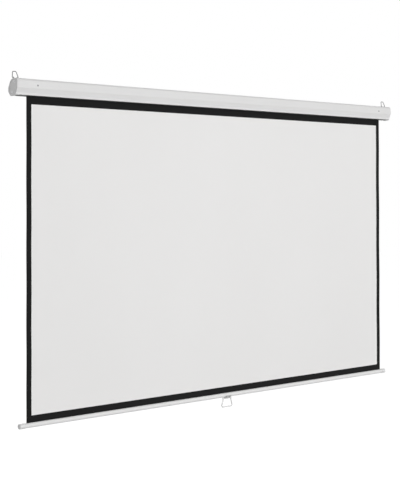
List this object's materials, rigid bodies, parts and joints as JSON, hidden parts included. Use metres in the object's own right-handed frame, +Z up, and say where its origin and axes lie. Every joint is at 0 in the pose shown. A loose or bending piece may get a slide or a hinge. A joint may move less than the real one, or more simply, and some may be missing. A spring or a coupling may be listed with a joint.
{
  "type": "pull-down projection screen",
  "caption": "Spring-roller projection screen with a long white case, hanging hooks, black-bordered white fabric, round bottom bar and pull handle.",
  "frame": {"origin": "on the hanging line, midway between the two hooks, at the inside of the tops of their loops", "axes": "+X along the screen towards its right end seen from the front, +Y towards the wall, +Z up"},
  "size_m": [2.393, 0.0634, 1.4698],
  "materials": {
    "case_paint": "white powder coat, satin",
    "trim_plastic": "black, extruded, satin",
    "cap_plastic": "moulded, fine texture",
    "zinc_steel": "bright zinc plate",
    "rivet_steel": "dull zinc plate",
    "screw_steel": "bright zinc plate",
    "hook_wire": "zinc-plated wire",
    "dark_steel": "oiled steel",
    "spring_steel": "oil-tempered wire",
    "plug_plastic": "moulded nylon",
    "bush_plastic": "moulded acetal",
    "black_backing": "black coated cloth, satin",
    "white_coating": "matte white projection coating",
    "bar_paint": "white powder coat, satin",
    "bar_cap_plastic": "moulded, satin",
    "clip_plastic": "moulded grey, satin",
    "handle_plastic": "white dipped rod, glossy"
  },
  "bodies": {
    "case": {"case_shell": "case_paint", "front_slot_trim": "trim_plastic", "rear_slot_trim": "trim_plastic", "left_end_cap": "cap_plastic", "right_end_cap": "cap_plastic", "left_end_bracket": "zinc_steel", "right_end_bracket": "zinc_steel", "left_case_rivet": "rivet_steel", "right_case_rivet": "rivet_steel", "left_cap_screw_upper": "screw_steel", "left_cap_screw_lower": "screw_steel", "right_cap_screw_upper": "screw_steel", "right_cap_screw_lower": "screw_steel", "left_hook_saddle": "zinc_steel", "right_hook_saddle": "zinc_steel", "left_hook_rivet": "rivet_steel", "right_hook_rivet": "rivet_steel", "idle_bush": "bush_plastic", "ratchet_spindle": "dark_steel", "spring_rod": "dark_steel", "fabric_leader": "black_backing", "screen_backing": "black_backing", "viewing_surface": "white_coating"},
    "roller": {"roller_tube": "zinc_steel", "fabric_roll": "black_backing", "idle_plug": "plug_plastic", "idle_pin": "dark_steel", "ratchet_plug": "plug_plastic", "spring_anchor": "plug_plastic", "return_spring": "spring_steel", "upper_pawl_pin": "zinc_steel", "lower_pawl_pin": "zinc_steel"},
    "upper_pawl": {"upper_pawl": "dark_steel"},
    "lower_pawl": {"lower_pawl": "dark_steel"},
    "bottom_bar": {"bottom_bar": "bar_paint", "screen_hem": "black_backing", "hem_rod": "plug_plastic", "left_bar_cap": "bar_cap_plastic", "right_bar_cap": "bar_cap_plastic", "handle_bracket": "clip_plastic", "left_bracket_rivet": "rivet_steel", "right_bracket_rivet": "rivet_steel", "handle_pin": "handle_plastic"},
    "handle": {"handle": "handle_plastic"},
    "left_hook": {"left_hook": "hook_wire"},
    "right_hook": {"right_hook": "hook_wire"}
  },
  "joints": [
    {"name": "screen_travel", "type": "slide", "parent": "case", "child": "bottom_bar", "axis": [0, 0, 1], "range_m": [0, 1.302], "deforming": ["screen_backing", "viewing_surface"]},
    {"name": "roller_turn", "type": "hinge", "parent": "case", "child": "roller", "pos_m": [0, -0.01093, -0.0605], "axis": [1, 0, 0], "range_deg": [-4140, 0]},
    {"name": "upper_pawl_swing", "type": "hinge", "parent": "roller", "child": "upper_pawl", "pos_m": [1.1662, -0.01093, -0.0475], "axis": [1, 0, 0], "range_deg": [-15.5, 0]},
    {"name": "lower_pawl_swing", "type": "hinge", "parent": "roller", "child": "lower_pawl", "pos_m": [1.1662, -0.01093, -0.0735], "axis": [1, 0, 0], "range_deg": [-15.5, 0]},
    {"name": "handle_swing", "type": "hinge", "parent": "bottom_bar", "child": "handle", "pos_m": [0, -0.01478, -1.424], "axis": [1, 0, 0], "range_deg": [-105, 105]},
    {"name": "left_hook_swing", "type": "hinge", "parent": "case", "child": "left_hook", "pos_m": [-1.1795, -0.00654, -0.02439], "axis": [1, 0, 0], "range_deg": [-112, 106]},
    {"name": "right_hook_swing", "type": "hinge", "parent": "case", "child": "right_hook", "pos_m": [1.1795, -0.00654, -0.02439], "axis": [1, 0, 0], "range_deg": [-112, 106]}
  ],
  "couplings": [
    {"joint": "roller_turn", "follows": "screen_travel", "rad_per_m": -55.49}
  ]
}
